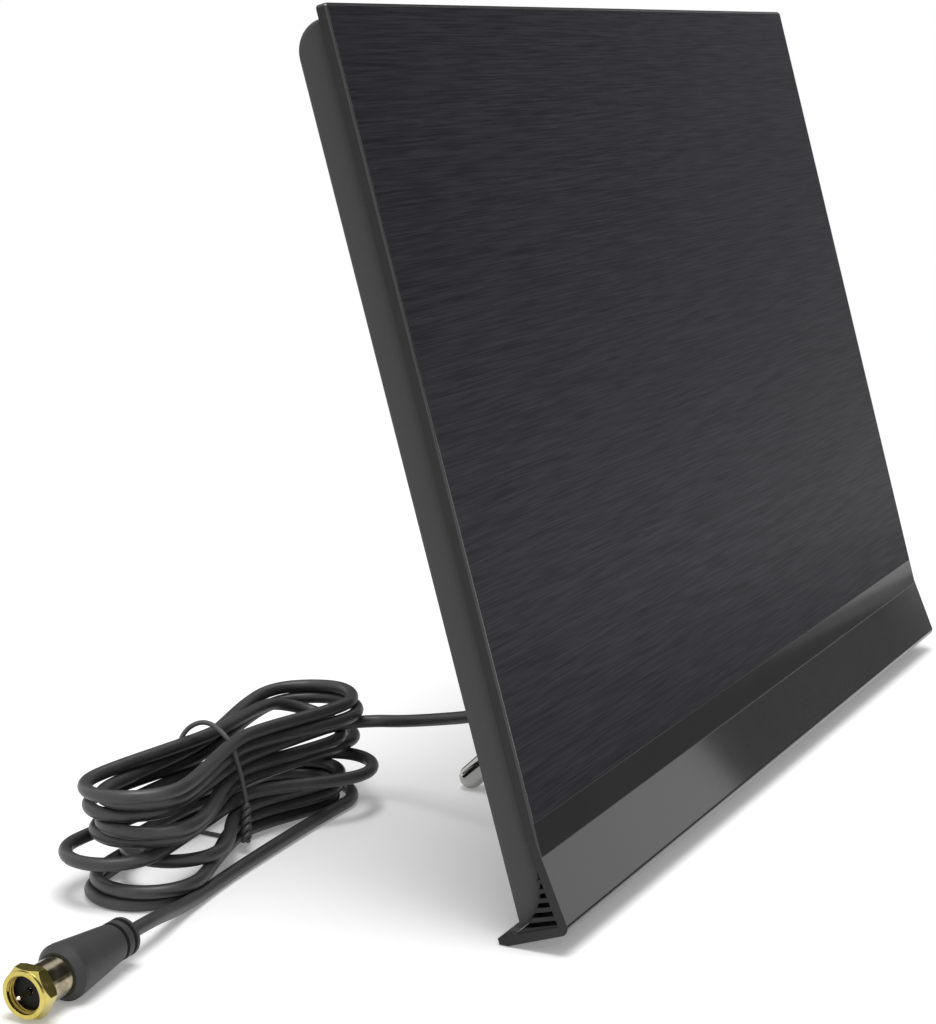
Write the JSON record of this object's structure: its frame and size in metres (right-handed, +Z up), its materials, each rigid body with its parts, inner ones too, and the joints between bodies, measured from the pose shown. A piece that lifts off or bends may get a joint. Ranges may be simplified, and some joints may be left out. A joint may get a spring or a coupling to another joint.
{
  "type": "tv antenna",
  "caption": "Flat indoor television antenna panel that leans back on a folding chrome wire stand, with a thin coax lead tied in a hank and a threaded F plug on its end.",
  "frame": {"origin": "middle of the flat that the rubber strip under the foot rests on", "axes": "+Z up, -Y towards the panel's brushed front, +X along the panel to the right as seen from the front"},
  "size_m": [0.3932, 0.1322, 0.2174],
  "materials": {
    "gloss_black": "smooth gloss",
    "brushed_black": "hairline brushed along the width",
    "matte_grey": "fine matte grain",
    "rubber_black": "matte",
    "screw_steel": "zinc plated",
    "board_green": "solder mask",
    "tin_sheet": "tinned sheet",
    "cable_black": "satin jacket",
    "tie_black": "satin",
    "chrome": "polished",
    "boot_grey": "matte moulded",
    "plug_gold": "polished gold plating",
    "plug_nickel": "polished nickel plating",
    "insulator_dark": "matte",
    "pin_copper": "bright"
  },
  "bodies": {
    "panel": {"front_bezel": "gloss_black", "foot_strip": "rubber_black", "fascia_plate": "brushed_black", "back_cover": "matte_grey", "cover_screws": "screw_steel", "antenna_board": "board_green", "board_screws": "screw_steel", "right_radiator": "tin_sheet", "left_radiator": "tin_sheet", "shield_can": "tin_sheet", "inner_coax": "cable_black", "coax_clamp": "matte_grey", "clamp_screws": "screw_steel", "cable_grommet": "rubber_black", "right_hinge_saddle": "matte_grey", "left_hinge_saddle": "matte_grey", "saddle_screws": "screw_steel", "cable_lead": "cable_black", "cable_hank": "cable_black", "cable_tail": "cable_black", "cable_tie": "tie_black", "plug_boot": "boot_grey", "plug_sleeve": "plug_nickel", "plug_insulator": "insulator_dark", "plug_pin": "pin_copper"},
    "stand": {"stand": "chrome"},
    "nut": {"plug_nut": "plug_gold"}
  },
  "joints": [
    {"name": "stand_fold", "type": "hinge", "parent": "panel", "child": "stand", "pos_m": [0, 0.01329, 0.04735], "axis": [1, 0, 0], "range_deg": [0, 116]},
    {"name": "nut_spin", "type": "hinge", "parent": "panel", "child": "nut", "pos_m": [-0.235, 0.0734, 0.0067], "axis": [-1, 0, 0], "continuous": true}
  ]
}
